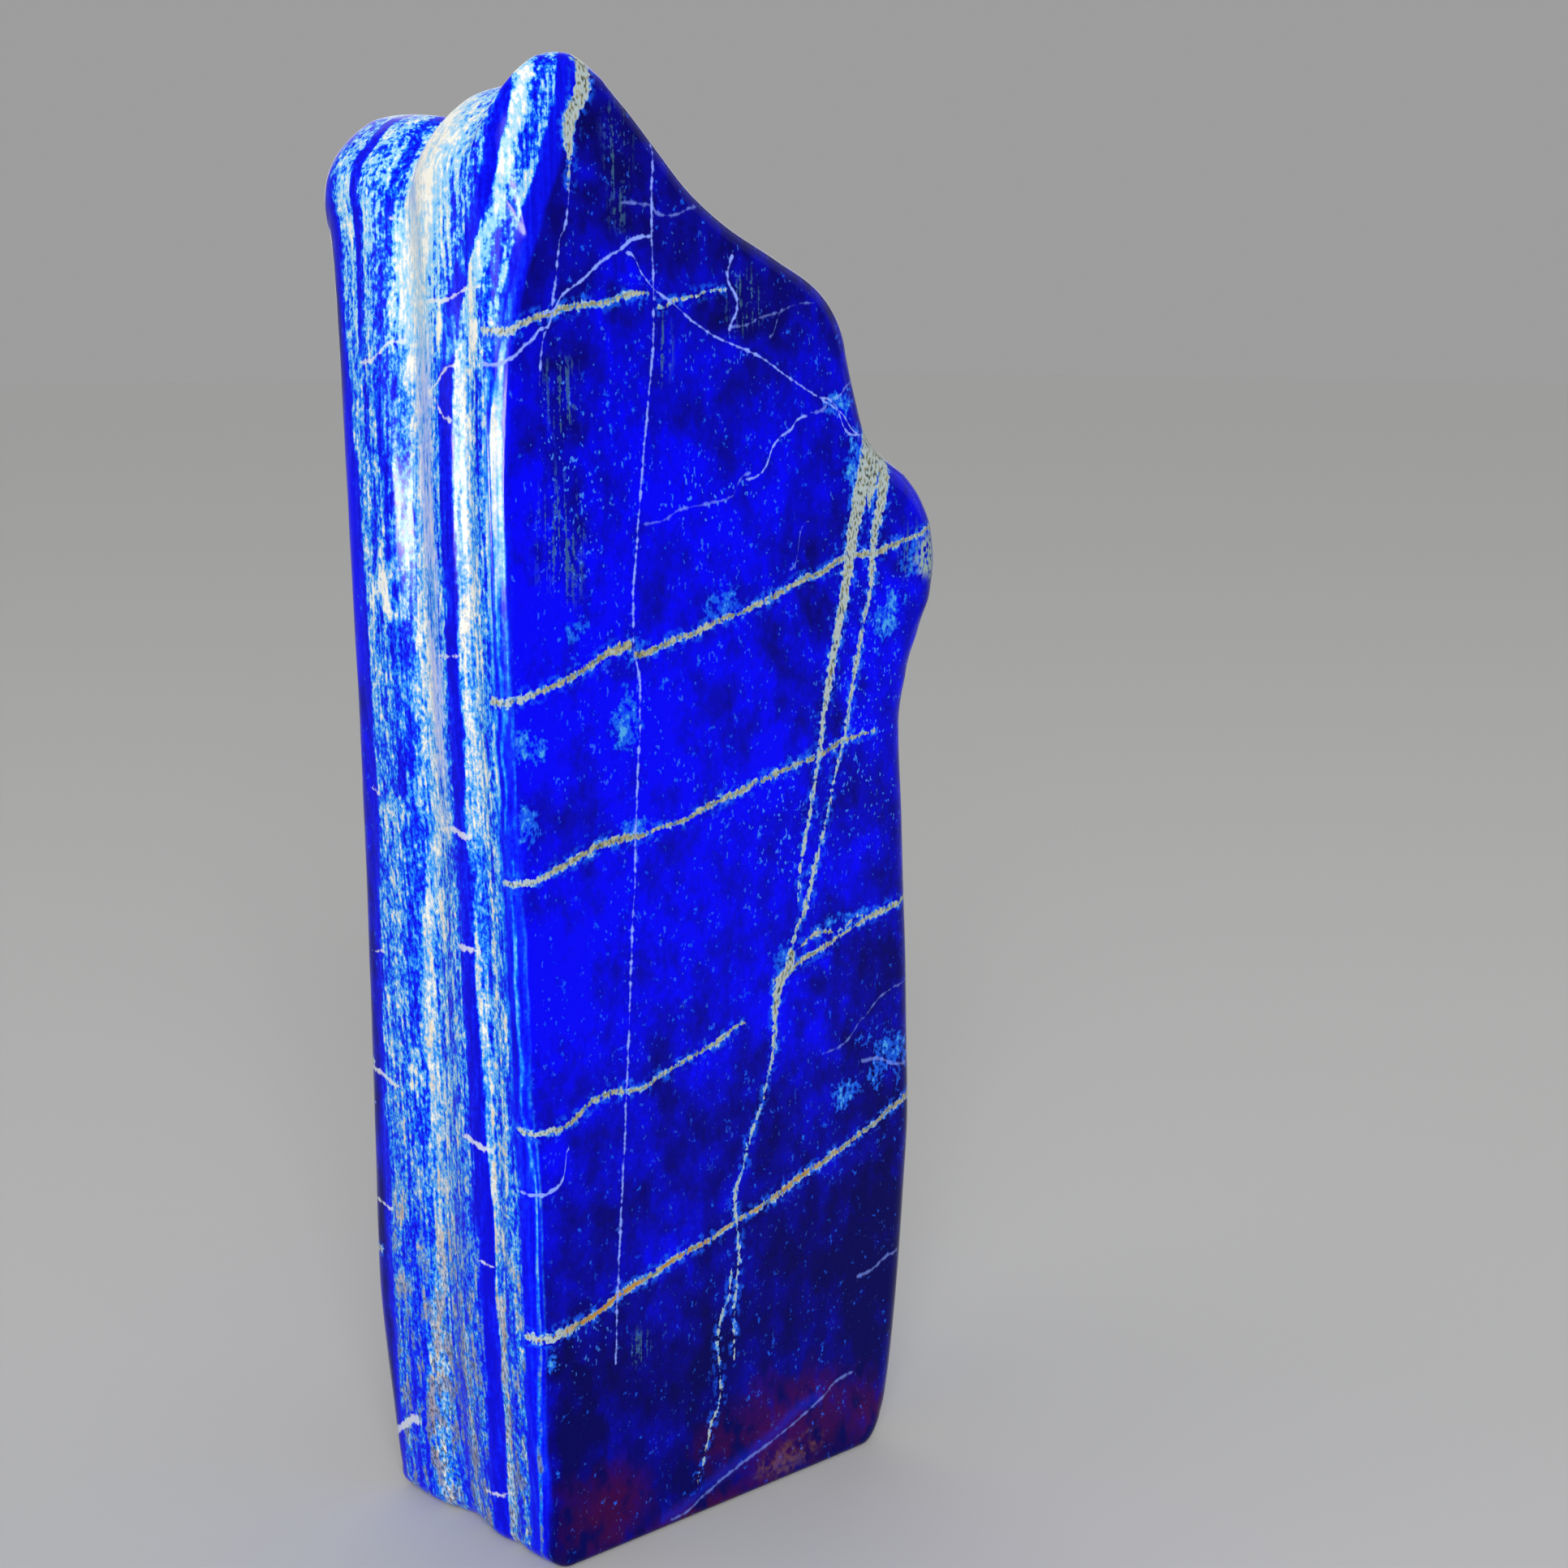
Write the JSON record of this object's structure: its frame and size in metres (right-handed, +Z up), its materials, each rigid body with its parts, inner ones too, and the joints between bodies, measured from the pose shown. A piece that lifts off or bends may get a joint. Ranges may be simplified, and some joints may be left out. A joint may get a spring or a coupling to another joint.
{
  "type": "polished lapis lazuli freeform",
  "caption": "Upright polished slab of lapis lazuli with a fluted, white-banded side and a flat sawn base to stand on.",
  "frame": {"origin": "on the ground under the middle of the stone's box", "axes": "+Z up along the stone's height, +X to the right along the broad polished face, +Y through its thickness to the back; the broad face looks along -Y and the banded side along -X"},
  "size_m": [0.102, 0.0518, 0.2506],
  "materials": {
    "polished_lapis": "high polish, deep blue with white calcite bands and thin beige veins"
  },
  "bodies": {
    "root": {"lapis_stone": "polished_lapis"}
  },
  "joints": []
}
